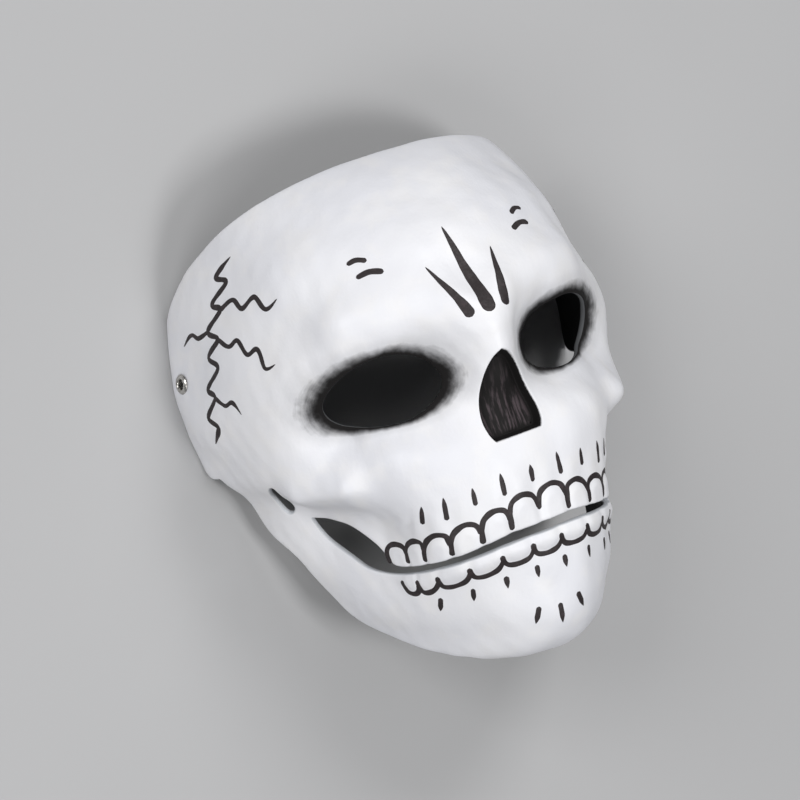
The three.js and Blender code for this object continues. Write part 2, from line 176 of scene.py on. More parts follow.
def plain_face(turn, station):
    """The face without bones: turn 0 is the midline, a quarter turn is the side."""
    front_along, front_rise, side_along, side_rise, half, square = np.moveaxis(section_values(station), -1, 0)
    sine, cosine = np.sin(turn), np.cos(turn)
    radius = (np.abs(sine) ** square + np.abs(cosine) ** square) ** (-1 / square)
    front = radius * cosine
    return np.stack([
        HALF_WIDTH * half * radius * sine,
        MASK_HEIGHT * (side_along + (front_along - side_along) * front),
        FACE_DEPTH * (side_rise + (front_rise - side_rise) * front),
    ], -1)


def normal_of(surface, turn, station):
    across = surface(turn + STEP, station) - surface(turn - STEP, station)
    down = surface(turn, station + STEP) - surface(turn, station - STEP)
    return unit(np.cross(down, across))


def relief_lines():
    scale = np.array([HALF_WIDTH, MASK_HEIGHT, FACE_DEPTH])
    for start, end, reach, lift in FORMS:
        yield np.array(start) * scale, np.array(end) * scale, reach * MASK_WIDTH, lift * FACE_DEPTH
    start, end, reach, lift = ORBIT
    ends = [np.array([EYE_SPACING / 2 + across * EYE_WIDTH, -EYE_DROP - down * EYE_HEIGHT, rise * FACE_DEPTH])
            for across, down, rise in (start, end)]
    yield ends[0], ends[1], reach * MASK_WIDTH, lift * FACE_DEPTH


RELIEF = list(relief_lines())


def relief_at(points):
    mirrored = points.copy()
    mirrored[..., 0] = np.abs(points[..., 0])
    height = np.zeros(points.shape[:-1])
    for start, end, reach, lift in RELIEF:
        line = end - start
        share = np.clip((mirrored - start) @ line / (line @ line), 0, 1)
        away = np.linalg.norm(mirrored - start - share[..., None] * line, axis=-1)
        height += lift * np.exp(-((away / reach) ** 2))
    return height


def face(turn, station):
    points = plain_face(turn, station)
    return points + normal_of(plain_face, turn, station) * relief_at(points)[..., None]


# Places on the face are found from the front (X, Y) or from the side (Y, Z) by Newton steps
FRONT_VIEW = [0, 1]
SIDE_VIEW = [1, 2]
GUESS_TURNS, GUESS_STATIONS = 60, 110
FRONT_LOWEST = 0.2 * FACE_DEPTH  # first guesses from the front lie above this
guess_turn, guess_station = (g.ravel() for g in np.meshgrid(
    np.linspace(0, TURN_LIMIT, GUESS_TURNS), np.linspace(0, len(SECTIONS) - 1, GUESS_STATIONS)))
guess_points = face(guess_turn, guess_station)


def locate(axes, targets, passes=25, longest=0.25):
    """Turn and station of the points of the +X half that lie at the targets on two axes."""
    targets = np.asarray(targets, float)
    miss = ((guess_points[None][..., axes] - targets[:, None]) ** 2).sum(-1)
    if axes == FRONT_VIEW:
        miss = miss + (guess_points[None, :, 2] < FRONT_LOWEST) * MASK_WIDTH
    nearest = miss.argmin(1)
    turn, station = guess_turn[nearest].copy(), guess_station[nearest].copy()
    for _ in range(passes):
        here = face(turn, station)[:, axes]
        by_turn = (face(turn + STEP, station)[:, axes] - here) / STEP
        by_station = (face(turn, station + STEP)[:, axes] - here) / STEP
        gap = targets - here
        if np.abs(gap).max() < CLOSE:
            break
        scale = by_turn[:, 0] * by_station[:, 1] - by_station[:, 0] * by_turn[:, 1]
        turn_step = (gap[:, 0] * by_station[:, 1] - by_station[:, 0] * gap[:, 1]) / scale
        station_step = (by_turn[:, 0] * gap[:, 1] - gap[:, 0] * by_turn[:, 1]) / scale
        turn += np.clip(turn_step, -longest, longest)
        station += np.clip(station_step, -longest, longest)
    return np.stack([turn, station], 1)


def locate_front(points):
    """The same for points on both halves of the face."""
    points = np.asarray(points, float)
    side = np.where(points[:, 0] < 0, -1.0, 1.0)
    found = locate(FRONT_VIEW, np.stack([np.abs(points[:, 0]), points[:, 1]], 1))
    found[:, 0] *= side
    return found


def spline(points, steps):
    """A Catmull-Rom line through points."""
    points = np.asarray(points, float)
    padded = np.vstack([points[0], points, points[-1]])
    t = np.linspace(0, 1, steps, endpoint=False)[:, None]
    runs = []
    for k in range(len(points) - 1):
        a, b, c, d = padded[k:k + 4]
        runs.append(catmull_rom(a, b, c, d, t))
    return np.vstack(runs + [points[-1:]])


def mirror(points):
    return np.asarray(points) * [-1, 1]


def ellipse(centre, width, height, tilt, count=120):
    turn = np.linspace(0, 2 * math.pi, count, endpoint=False)
    across, up = np.cos(turn) * width / 2, np.sin(turn) * height / 2
    tilt = math.radians(tilt)
    return np.stack([centre[0] + across * math.cos(tilt) - up * math.sin(tilt),
                     centre[1] + across * math.sin(tilt) + up * math.cos(tilt)], 1)


def nose_outline():
    side = np.array(NOSE_SIDE) * [NOSE_WIDTH / 2, -NOSE_HEIGHT] - [0, NOSE_DROP]
    right = spline(side, 12)
    return np.vstack([right, mirror(right)[::-1][:-1]])


def mouth_outline():
    centres = MOUTH_LINE[:, :2] * [MOUTH_WIDTH / 2, CORNER_CLIMB] - [0, MOUTH_DROP]
    opening = MOUTH_LINE[:, 2] * SLIT_OPENING + MOUTH_LINE[:, 3] * CORNER_OPENING
    before = np.vstack([mirror(centres[1]), centres[:-1]])
    after = np.vstack([centres[1:], centres[-1]])
    along = unit(after - before)
    across = np.stack([-along[:, 1], along[:, 0]], 1) * opening[:, None] / 2
    upper, lower, tip = centres + across, centres - across, centres[-1]
    top = spline([tip, *upper[-2::-1], *mirror(upper[1:-1]), mirror(tip)], 10)
    bottom = spline([mirror(tip), *mirror(lower[1:-1])[::-1], *lower[:-1], tip], 10)
    return np.vstack([top[:-1], bottom[:-1]])


def side_points(*shares):
    return [np.array(share) * [MASK_HEIGHT, FACE_DEPTH] for share in shares]


def rear_edge():
    """The rear edge in the side view from the crown's corner to below the chin."""
    crown, crown_pull, temple_pull, temple_top = side_points(CROWN, CROWN_PULL, TEMPLE_PULL, TEMPLE_TOP)
    tab, corner, step = side_points(TEMPLE_TAB, TAB_CORNER, TAB_STEP)
    jaw = side_points(*JAW)
    t = np.linspace(0, 1, 60)[:, None]
    brow_curve = ((1 - t) ** 3 * crown + 3 * (1 - t) ** 2 * t * crown_pull
                  + 3 * (1 - t) * t**2 * temple_pull + t**3 * temple_top)
    tab_curve = (1 - t) ** 2 * tab + 2 * (1 - t) * t * corner + t**2 * step
    return dense(np.vstack([brow_curve, tab_curve, jaw[0][None], spline(jaw, 12)[1:]]), 0.7)


def dense(line, spacing):
    length = length_along(line)
    return sample(line, length, np.linspace(0, length[-1], max(2, round(length[-1] / spacing))))


def bisect(keeps_going, low, high, passes=40):
    """The station, turn by turn, where keeps_going changes from true to false."""
    for _ in range(passes):
        middle = (low + high) / 2
        going = keeps_going(middle)
        low, high = np.where(going, middle, low), np.where(going, high, middle)
    return low


RIM_MISS = 0.05  # places further than this from the rear edge aren't on it
SIDE_TURNS = (0.3, TURN_LIMIT + 0.1)  # where the edge is found from the side
CROWN_STATIONS, CHIN_STATIONS = (0.0, 3.0), (8.5, 11.0)  # where it crosses the front
CROWN_TURNS, CHIN_TURNS = 60, 40


def rim_loop():
    """The shell's whole outer edge, as turns and stations."""
    edge = rear_edge()
    side = locate(SIDE_VIEW, edge)
    reached = np.linalg.norm(face(*side.T)[:, SIDE_VIEW] - edge, axis=1) < RIM_MISS
    reached &= (side[:, 0] > SIDE_TURNS[0]) & (side[:, 0] < SIDE_TURNS[1])
    last = len(reached) - reached[::-1].argmax()
    side = side[:last][reached[:last]]
    crown_turns = np.linspace(0, side[0, 0], CROWN_TURNS, endpoint=False)
    chin_turns = np.linspace(side[-1, 0], 0, CHIN_TURNS)[1:]
    order = edge[::-1]

    def behind_edge(turns, station):
        points = face(turns, station)
        return points[:, 2] < np.interp(points[:, 1], order[:, 0], order[:, 1], right=2 * FACE_DEPTH)

    high, low = (np.full(len(crown_turns), station) for station in CROWN_STATIONS)
    crown = bisect(lambda s: behind_edge(crown_turns, s), high, low)
    high, low = (np.full(len(chin_turns), station) for station in CHIN_STATIONS)
    chin = bisect(lambda s: ~behind_edge(chin_turns, s), high, low)
    half = np.vstack([np.stack([crown_turns, crown], 1), side, np.stack([chin_turns, chin], 1)])
    return np.vstack([half, mirror(half)[::-1][1:-1]])


def resample(loop, spacing):
    """A closed loop of turns and stations with even steps on the face."""
    closed = np.vstack([loop, loop[:1]])
    length = length_along(face(*closed.T))
    return sample(closed, length, np.linspace(0, length[-1], round(length[-1] / spacing), endpoint=False))


def sideways(loop):
    """Directions along the face and across a closed loop."""
    points = face(*loop.T)
    along = unit(np.roll(points, -1, 0) - np.roll(points, 1, 0))
    return unit(np.cross(normal_of(face, *loop.T), along))


def step_on_face(places, moves):
    """Turns and stations after small moves in space along the face."""
    turn, station = places.T
    here = face(turn, station)
    a = (face(turn + STEP, station) - here) / STEP
    b = (face(turn, station + STEP) - here) / STEP
    aa, ab, bb = (a * a).sum(-1), (a * b).sum(-1), (b * b).sum(-1)
    ra, rb = (a * moves).sum(-1), (b * moves).sum(-1)
    scale = aa * bb - ab * ab
    return places + np.stack([(ra * bb - rb * ab) / scale, (rb * aa - ra * ab) / scale], 1)


# The plane that the skin is meshed in: arc length across, and arc length down the midline
CHART_COLUMNS, CHART_ROWS = 200, 160
chart_turns = np.linspace(0, TURN_LIMIT + 0.12, CHART_COLUMNS)
chart_stations = np.linspace(0, len(SECTIONS) - 1, CHART_ROWS)
chart_points = face(*(g for g in np.meshgrid(chart_turns, chart_stations)))
chart_across = np.concatenate([np.zeros((CHART_ROWS, 1)), np.cumsum(
    np.linalg.norm(np.diff(chart_points, axis=1), axis=2), axis=1)], 1)
chart_down = length_along(chart_points[:, 0])


def chart_cell(values, scale):
    """Which step of an even scale each value lies in, and how far along that step."""
    at = np.clip(values / scale[-1] * (len(scale) - 1), 0, len(scale) - 1.001)
    return at.astype(int), at % 1


def chart(places):
    turn, station = places.T
    i, u = chart_cell(station, chart_stations)
    j, v = chart_cell(np.abs(turn), chart_turns)
    across = ((1 - u) * (1 - v) * chart_across[i, j] + (1 - u) * v * chart_across[i, j + 1]
              + u * (1 - v) * chart_across[i + 1, j] + u * v * chart_across[i + 1, j + 1])
    return np.stack([np.sign(turn) * across, np.interp(station, chart_stations, chart_down)], 1)


def area_of(loop):
    u, v = chart(loop).T
    return abs((u * np.roll(v, -1) - np.roll(u, -1) * v).sum()) / 2


def offset(loop, distance, grow):
    """The loop moved sideways on the face: outwards if it is to grow."""
    side = sideways(loop)
    moved = step_on_face(loop, side * distance)
    if (area_of(moved) > area_of(loop)) != grow:
        moved = step_on_face(loop, -side * distance)
    return moved


def inside(loop, points):
    """Which points of the plane lie inside a closed loop of it."""
    found = np.zeros(len(points), bool)
    x, y = points.T
    for (ax, ay), (bx, by) in zip(loop, np.roll(loop, -1, 0)):
        if ay != by:
            crosses = (ay > y) != (by > y)
            found ^= crosses & (x < (bx - ax) * (y - ay) / (by - ay) + ax)
    return found


def distance_to(line, points, closed=True):
    """How far points of a plane lie from a line of it."""
    best = np.full(len(points), np.inf)
    ends = np.roll(line, -1, 0) if closed else line[1:]
    for a, b in zip(line, ends):
        along = b - a
        share = np.clip((points - a) @ along / max(along @ along, 1e-12), 0, 1)
        best = np.minimum(best, np.linalg.norm(points - a - share[:, None] * along, axis=1))
    return best


NOSE_LINE = nose_outline()
EYE_LINE = ellipse((EYE_SPACING / 2, -EYE_DROP), EYE_WIDTH, EYE_HEIGHT, EYE_TILT)
MOUTH_OUTLINE = mouth_outline()


def inside_nose(points, reach=6):
    """Millimetres inside the nose outline, below zero outside it."""
    depth = np.full(points.shape[:-1], -float(reach))
    near = (np.abs(points[..., 0]) < NOSE_WIDTH / 2 + reach) & (points[..., 1] < -NOSE_DROP + reach) \
        & (points[..., 1] > -NOSE_DROP - NOSE_HEIGHT - reach)
    flat = points[near][:, :2]
    if len(flat):
        away = distance_to(NOSE_LINE, flat)
        depth[near] = np.maximum(np.where(inside(NOSE_LINE, flat), away, -away), -reach)
    return depth


# The recess starts just outside the outline and reaches its floor over a short steep wall
NOSE_WALL = (-0.35, 1.2)
SEPTUM_RISE = 1.3
SEPTUM_REACH = 2.4
SEPTUM_RUN = (0.15, 0.8)  # it swells from one share of NOSE_HEIGHT to the other


def nose_recess(points, grow):
    depth = NOSE_RECESS * smooth(*NOSE_WALL, inside_nose(points) + grow)
    low = smooth(*(-NOSE_DROP - run * NOSE_HEIGHT for run in SEPTUM_RUN), points[..., 1])
    septum = SEPTUM_RISE * low * np.exp(-((points[..., 0] / SEPTUM_REACH) ** 2)) * smooth(
        NOSE_WALL[1], NOSE_WALL[1] + 2.5, inside_nose(points) + grow)
    return depth - septum


# Teeth: both rows are laid out by arc length along the jaw from the midline
TEETH_HALF_SPAN = 49.7
TEETH_ALONG = -70
UPPER_SHARES = np.array([1.1, 1.0, 1.02, 1.0, 0.96, 0.92])
UPPER_HEIGHTS = np.array([13.0, 10.8, 10.4, 10.1, 9.6, 8.4])
LOWER_TEETH = 11
LOWER_HEIGHT = 8.2
LOWER_BAND = 0.9
LOWER_BAND_DROP = 3.4
LOWER_BAND_REACH = 3.0
LOWER_SPAN = 0.97  # of the upper row's arc
TOOTH_BULGE = 0.8
LOWER_BULGE = 0.55
TOOTH_SLOPE = (0.45, 1.02)  # shares of a tooth between which its bulge falls
UPPER_STRAIGHT, LOWER_STRAIGHT = 0.4, 0.5
ROOT_SWELL, ROOT_ABOVE, ROOT_REACH = 0.3, 15.5, 5

arc_x = np.linspace(0, 62, 80)
arc_points = face(*locate(FRONT_VIEW, np.stack([arc_x, np.full(len(arc_x), float(TEETH_ALONG))], 1)).T)
arc_length = length_along(arc_points)
teeth_arc = np.interp(TEETH_HALF_SPAN, arc_x, arc_length)
upper_gaps = np.concatenate([[0], np.cumsum(UPPER_SHARES / UPPER_SHARES.sum() * teeth_arc)])
lower_width = 2 * LOWER_SPAN * teeth_arc / LOWER_TEETH
lower_gaps = lower_width * (np.arange(LOWER_TEETH // 2 + 2) - 0.5)


def mouth_edge(x, side):
    """Height along the face of the slit's upper (1) or lower (-1) edge."""
    share = np.abs(x) / (MOUTH_WIDTH / 2)
    climb, slit, corner = (np.interp(share, MOUTH_LINE[:, 0], MOUTH_LINE[:, k]) for k in (1, 2, 3))
    opening = slit * SLIT_OPENING + corner * CORNER_OPENING
    return -MOUTH_DROP + climb * CORNER_CLIMB + side * opening / 2


def tooth_bulge(arc, height, gaps, heights, straight):
    """One at the middle of a tooth, falling to zero at its arched outline."""
    index = np.clip(np.searchsorted(gaps, arc, side="right") - 1, 0, len(gaps) - 2)
    middle, half = (gaps[index] + gaps[index + 1]) / 2, (gaps[index + 1] - gaps[index]) / 2
    across = (arc - middle) / half
    up = np.maximum(height / heights[index] - straight, 0) / (1 - straight)
    away = np.sqrt(across**2 + up**2)
    return (1 - smooth(*TOOTH_SLOPE, away)) * (arc < gaps[-1]) * (height > -3)


def teeth_relief(points):
    x, y = np.abs(points[..., 0]), points[..., 1]
    arc = np.interp(x, arc_x, arc_length)
    front = smooth(0.35 * FACE_DEPTH, 0.45 * FACE_DEPTH, points[..., 2])
    above = y - mouth_edge(x, 1)
    below = mouth_edge(x, -1) - y
    upper = TOOTH_BULGE * tooth_bulge(arc, above, upper_gaps, UPPER_HEIGHTS, UPPER_STRAIGHT)
    upper *= above > -SLIT_OPENING
    lower_heights = np.full(len(lower_gaps), LOWER_HEIGHT)
    lower = LOWER_BULGE * tooth_bulge(arc, below, lower_gaps, lower_heights, LOWER_STRAIGHT)
    band = LOWER_BAND * np.exp(-(((below - LOWER_BAND_DROP) / LOWER_BAND_REACH) ** 2))
    fade = 1 - smooth(0.92 * teeth_arc, 1.06 * teeth_arc, arc)
    roots = ROOT_SWELL * np.cos(2 * math.pi * (arc / (teeth_arc / len(UPPER_SHARES)) - 0.5)) \
        * np.exp(-(((above - ROOT_ABOVE) / ROOT_REACH) ** 2))
    return front * (upper + (lower * (below > -0.5) + band * (below > -2.5) + roots * (above > 0)) * fade)


WAVES = ((38, 0.24), (17, 0.1), (8, 0.03))  # wavelength and height
WAVES_OF_EACH = 5
CROWN_CALM, CALM_FROM, CALM_TO = 0.75, 0.28 * MASK_HEIGHT, 0.4 * MASK_HEIGHT


def unevenness(points):
    """The slow waves of a hand-finished surface, calmer towards the crown."""
    rng = np.random.default_rng(11)
    total = np.zeros(points.shape[:-1])
    for wavelength, height in WAVES:
        for _ in range(WAVES_OF_EACH):
            direction = unit(rng.normal(size=3))
            total += height * np.sin(points @ direction * 2 * math.pi / wavelength + rng.uniform(0, 6.28))
    return total * (1 - CROWN_CALM * smooth(CALM_FROM, CALM_TO, points[..., 1]))


def outer(turn, station):
    base = face(turn, station)
    raised = base + normal_of(face, turn, station) * (teeth_relief(base) + unevenness(base))[..., None]
    raised[..., 2] -= nose_recess(base, 0)
    return raised


def inner(turn, station):
    base = face(turn, station)
    sunk = base - normal_of(face, turn, station) * WALL
    sunk[..., 2] -= nose_recess(base, WALL)
    return sunk


# Placing: the fine shell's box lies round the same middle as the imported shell's
rim = rim_loop()
rim_points = face(*rim.T)
packed_low, packed_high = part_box("mask_shell")
middle = (np.array(packed_low) + np.array(packed_high)) / 2
SHIFT = np.array([
    middle[0] / MM,
    middle[1] / MM - (rim_points[:, 1].max() + face(guess_turn, guess_station)[:, 1].min()) / 2,
    0.0,
])


def placed(points):
    return (points + SHIFT) * MM


def add_object(name, data):
    added = bpy.data.objects.new(name, data)
    bpy.context.scene.collection.objects.link(added)
    return added


def add_mesh(name, points, faces, material):
    mesh = bpy.data.meshes.new(name)
    mesh.from_pydata(placed(points).tolist(), [], faces)
    mesh.validate()
    mesh.polygons.foreach_set("use_smooth", np.ones(len(mesh.polygons), bool))
    mesh.materials.append(material)
    piece = add_object(name, mesh)
    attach(piece, "root")
    return piece


# Materials
class Graph:
    """Short names for the nodes that the materials are made of."""

    def __init__(self, name):
        self.material = bpy.data.materials.new(name)
        self.material.use_nodes = True
        self.nodes, self.links = self.material.node_tree.nodes, self.material.node_tree.links
        self.shader = self.nodes["Principled BSDF"]
        self.place = self.nodes.new("ShaderNodeTexCoord").outputs["Object"]

    def link(self, source, target):
        if isinstance(source, bpy.types.NodeSocket):
            self.links.new(source, target)
        else:
            target.default_value = source

    def shade(self, name, source):
        self.link(source, self.shader.inputs[name])

    def node(self, kind, inputs):
        node = self.nodes.new("ShaderNode" + kind)
        for name, source in inputs.items():
            self.link(source, node.inputs[name])
        return node

    def noise(self, scale, detail=3.0, vector=None, roughness=0.5):
        inputs = {"Vector": vector or self.place, "Scale": scale, "Detail": detail, "Roughness": roughness}
        return self.node("TexNoise", inputs).outputs["Fac"]

    def stretch(self, scale):
        return self.node("Mapping", {"Vector": self.place, "Scale": scale}).outputs["Vector"]

    def attribute(self, name):
        node = self.nodes.new("ShaderNodeAttribute")
        node.attribute_name = name
        return node.outputs["Fac"]

    def math(self, kind, a, b=0.0, c=0.0):
        node = self.nodes.new("ShaderNodeMath")
        node.operation = kind
        for value, socket in zip((a, b, c), node.inputs):
            self.link(value, socket)
        return node.outputs[0]

    def times(self, a, b):
        return self.math("MULTIPLY", a, b)

    def most(self, a, b):
        return self.math("MAXIMUM", a, b)

    def ramp(self, value, low, high, to_low=0.0, to_high=1.0, kind="SMOOTHSTEP"):
        inputs = {"Value": value, "From Min": low, "From Max": high, "To Min": to_low, "To Max": to_high}
        node = self.node("MapRange", inputs)
        node.interpolation_type = kind
        return node.outputs["Result"]

    def mix(self, share, a, b):
        node = self.nodes.new("ShaderNodeMix")
        node.data_type = "RGBA"
        self.link(share, node.inputs["Factor"])
        for value, socket in ((a, node.inputs["A"]), (b, node.inputs["B"])):
            self.link(value if isinstance(value, bpy.types.NodeSocket) else (*value, 1.0), socket)
        return node.outputs["Result"]

    def combine(self, x, y, z):
        node = self.nodes.new("ShaderNodeCombineXYZ")
        for value, socket in zip((x, y, z), node.inputs):
            self.link(value, socket)
        return node.outputs["Vector"]

    def bump(self, height, distance, below=None, strength=1.0):
        node = self.node("Bump", {"Height": height, "Distance": distance, "Strength": strength})
        if below is not None:
            self.links.new(below, node.inputs["Normal"])
        return node.outputs["Normal"]


WHITE = (0.80, 0.80, 0.825)
WHITE_COOL = (0.74, 0.745, 0.785)
WHITE_WARM = (0.81, 0.80, 0.80)
BLACK = (0.006, 0.005, 0.005)
INK = (0.017, 0.0115, 0.0125)
INK_WORN = (0.045, 0.031, 0.034)
CUT_EDGE = (0.50, 0.52, 0.55)
SPECK = (0.55, 0.55, 0.57)
NOSE_STREAK = (0.066, 0.051, 0.057)
# Painted shade: near-black on the inside sheet, so that what shows through the openings stays dark
PAINTED_INSIDE_SHADE = (0.009, 0.009, 0.010)
NICKEL_LIGHT, NICKEL_DARK = (0.62, 0.61, 0.58), (0.50, 0.485, 0.46)
FLOOR_LIGHT, FLOOR_DARK = (0.44, 0.44, 0.445), (0.425, 0.425, 0.43)


def skin_material():
    g = Graph("painted_resin_skin")
    broad = g.noise(16, 2)
    middle_noise = g.noise(90, 3)
    fine = g.noise(700, 3)
    tone = g.mix(g.ramp(broad, 0.35, 0.65), WHITE, WHITE_COOL)
    tone = g.mix(g.times(g.ramp(middle_noise, 0.45, 0.7), 0.45), tone, WHITE_WARM)
    speck = g.ramp(g.noise(1500, 2), 0.72, 0.8)
    tone = g.mix(g.times(speck, 0.25), tone, SPECK)

    edge = g.attribute("cut_edge")
    tone = g.mix(g.times(g.ramp(edge, 0.05, 0.8), 0.8), tone, CUT_EDGE)

    # Airbrushed black round the eyes: solid at the hole, with strands along the rim at its two ends
    away, reach = g.attribute("eye_away"), g.attribute("eye_reach")
    eye_cos, eye_sin = g.attribute("eye_cos"), g.attribute("eye_sin")
    strand_place = g.combine(g.times(away, 0.75), g.times(eye_cos, 2.2), g.times(eye_sin, 2.2))
    strands = g.math("SUBTRACT", g.noise(1.0, 4, strand_place, 0.6), 0.5)
    cloud = g.math("SUBTRACT", g.noise(210, 3), 0.5)
    ends = g.ramp(g.math("ABSOLUTE", eye_cos), 0.55, 0.95, 0.15, 0.4)
    share = g.math("DIVIDE", away, reach)
    strands = g.times(strands, g.times(ends, g.ramp(share, 0.0, 0.6)))
    share = g.math("ADD", share, strands)
    share = g.math("ADD", share, g.times(cloud, 0.45))
    soot = g.ramp(share, 0.15, 1.05, 1.0, 0.0)
    haze = g.ramp(share, 0.6, 1.7, 0.16, 0.0)
    tone = g.mix(g.most(soot, haze), tone, BLACK)
    tone = g.mix(g.times(g.ramp(edge, 0.7, 1.0), 0.22), tone, CUT_EDGE)

    # Black nose with brush streaks that run down it
    nose_in = g.attribute("nose_in")
    nose = g.math("ADD", nose_in, g.times(g.math("SUBTRACT", g.noise(900, 2), 0.5), 0.25))
    streak = g.noise(1.0, 4, g.stretch((620, 75, 200)), 0.6)
    low = g.ramp(g.attribute("nose_low"), 0.1, 0.65, 0.15, 1.0)
    low = g.times(low, g.ramp(nose_in, 1.2, 3.4))
    streaks = g.times(g.ramp(streak, 0.46, 0.66), low)
    nose_paint = g.mix(streaks, BLACK, NOSE_STREAK)
    tone = g.mix(g.ramp(nose, -0.15, 0.12), tone, nose_paint)

    # The inside sheet gets a near-black painted shade, for the dark seen through the openings
    painted_inside_shade = g.attribute("painted_inside_shade")
    tone = g.mix(painted_inside_shade, tone, PAINTED_INSIDE_SHADE)
    g.shade("Base Color", tone)

    roughness = g.ramp(g.noise(120, 3), 0.3, 0.7, 0.36, 0.5, "LINEAR")
    roughness = g.most(roughness, g.times(g.ramp(edge, 0.1, 0.7), 0.6))
    dull = g.most(g.most(painted_inside_shade, soot), g.ramp(nose, -0.15, 0.12, 0.0, 0.9))
    roughness = g.most(roughness, g.times(dull, 0.85))
    g.shade("Roughness", roughness)
    g.shader.inputs["Specular IOR Level"].default_value = 0.3
    grain = g.bump(fine, 0.00006)
    brush = g.bump(g.noise(1.0, 3, g.stretch((420, 90, 300))), 0.00012, grain, 0.6)
    waves = g.bump(g.noise(150, 2), 0.0003, brush, 0.5)
    g.shade("Normal", waves)
    return g.material


def ink_material():
    g = Graph("marker_ink")
    worn = g.ramp(g.noise(420, 4, None, 0.65), 0.48, 0.75)
    g.shade("Base Color", g.mix(g.times(worn, 0.8), INK, INK_WORN))
    g.shade("Roughness", g.ramp(g.noise(900, 3), 0.3, 0.7, 0.5, 0.72, "LINEAR"))
    g.shade("Normal", g.bump(g.noise(1400, 2), 0.00004))
    return g.material


def nickel_material():
    g = Graph("brushed_nickel")
    tint = g.mix(g.ramp(g.noise(300, 3), 0.35, 0.65), NICKEL_LIGHT, NICKEL_DARK)
    g.shade("Base Color", tint)
    g.shade("Metallic", 1.0)
    g.shade("Roughness", g.ramp(g.noise(1200, 3), 0.3, 0.7, 0.2, 0.38, "LINEAR"))
    g.shade("Normal", g.bump(g.noise(1.0, 2, g.stretch((900, 900, 6000))), 0.00002))
    return g.material


SKIN, MARKER, NICKEL = skin_material(), ink_material(), nickel_material()


# The skin: one sheet outside, one inside, joined round every edge by a rounded lip
def round_axis(axis, count):
    """Directions all round an axis."""
    first = unit(np.cross(axis, [0, 1, 0]))
    second = np.cross(axis, first)
    turn = np.linspace(0, 2 * math.pi, count, endpoint=False)[:, None]
    return np.cos(turn) * first + np.sin(turn) * second


eyelet = locate(SIDE_VIEW, [(EYELET_ABOVE_BRIDGE, EYELET_ABOVE_RIM)]).T
EYELET_POINT, EYELET_NORMAL = face(*eyelet)[0], normal_of(face, *eyelet)[0]
bore_ring = EYELET_POINT + (EYELET_BARREL / 2 + CLEARANCE) * round_axis(EYELET_NORMAL, 60)
bore = locate(SIDE_VIEW, bore_ring[:, SIDE_VIEW])
eye = locate(FRONT_VIEW, EYE_LINE)
cheek_slit = locate(SIDE_VIEW, ellipse(
    (-CHEEK_SLIT_DROP, CHEEK_SLIT_RISE), CHEEK_SLIT_LENGTH, CHEEK_SLIT_WIDTH, CHEEK_SLIT_TILT))
mouth = locate_front(MOUTH_OUTLINE)
cuts = [(rim, LOOP_STEP, False)]
for hole, spacing in ((eye, LOOP_STEP), (cheek_slit, 0.8), (bore, 0.6)):
    cuts += [(hole, spacing, True), (mirror(hole), spacing, True)]
cuts.append((mouth, 0.8, True))
edges = [offset(resample(loop, spacing), LIP_BULGE, grow) for loop, spacing, grow in cuts]

# Rings in the face that carry the nose recess, outside and inside
NOSE_RINGS = (-2.7, -2.35, -2.15, -1.95, -1.75, -1.55, -1.35, -1.1, -0.8, -0.45, -0.2, 0.0,
              0.15, 0.3, 0.45, 0.6, 0.75, 0.9, 1.1, 1.4, 2.0)


def plane_offset(line, distance):
    """A closed line of the plane moved inwards, its corners rounded by their own mean direction."""
    along = unit(np.roll(line, -1, 0) - np.roll(line, 1, 0))
    side = np.stack([along[:, 1], -along[:, 0]], 1)
    moved = line + side * distance
    if (np.abs(moved[:, 0]).max() < np.abs(line[:, 0]).max()) != (distance > 0):
        moved = line - side * distance
    return moved


even_nose = dense(np.vstack([NOSE_LINE, NOSE_LINE[:1]]), 0.9)[:-1]
rings = [locate_front(plane_offset(even_nose, distance)) for distance in NOSE_RINGS]


def grid_points(spacing):
    places = []
    rows = np.arange(0, chart_down[-1], spacing * math.sqrt(3) / 2)
    for number, down in enumerate(rows):
        station = np.interp(down, chart_down, chart_stations)
        row = station / chart_stations[-1] * (len(chart_stations) - 1)
        i = min(int(row), len(chart_stations) - 2)
        lengths = (1 - row + i) * chart_across[i] + (row - i) * chart_across[i + 1]
        count = int(lengths[-1] / spacing)
        across = (np.arange(-count, count + 1) + 0.5 * (number % 2)) * spacing
        across = across[np.abs(across) < lengths[-1]]
        turns = np.sign(across) * np.interp(np.abs(across), lengths, chart_turns)
        places.append(np.stack([turns, np.full(len(turns), station)], 1))
    return np.vstack(places)


def in_fine_zone(places):
    x, y, _ = face(*places.T).T
    half, low, high = FINE_ZONE
    return (np.abs(x) < half) & (y > low) & (y < high)


def clear_of(places, loops, gap):
    """The places whose charted distance to every loop's points is more than gap."""
    charted = chart(places)
    stops = np.vstack([chart(loop) for loop in loops])
    keep = np.ones(len(places), bool)
    for start in range(0, len(places), 1500):
        part = charted[start:start + 1500]
        near = ((part[:, None] - stops[None]) ** 2).sum(-1).min(1)
        keep[start:start + 1500] = near > gap**2
    return places[keep]


def skin_places():
    coarse, fine = grid_points(MESH_STEP), grid_points(FINE_STEP)
    places = []
    for grid, wanted, gap in ((coarse, False, 0.62 * MESH_STEP), (fine, True, 0.62 * FINE_STEP)):
        grid = grid[in_fine_zone(grid) == wanted]
        charted = chart(grid)
        keep = inside(chart(edges[0]), charted)
        for hole in edges[1:]:
            keep &= ~inside(chart(hole), charted)
        places.append(clear_of(grid[keep], edges + rings, gap))
    return np.vstack(places)


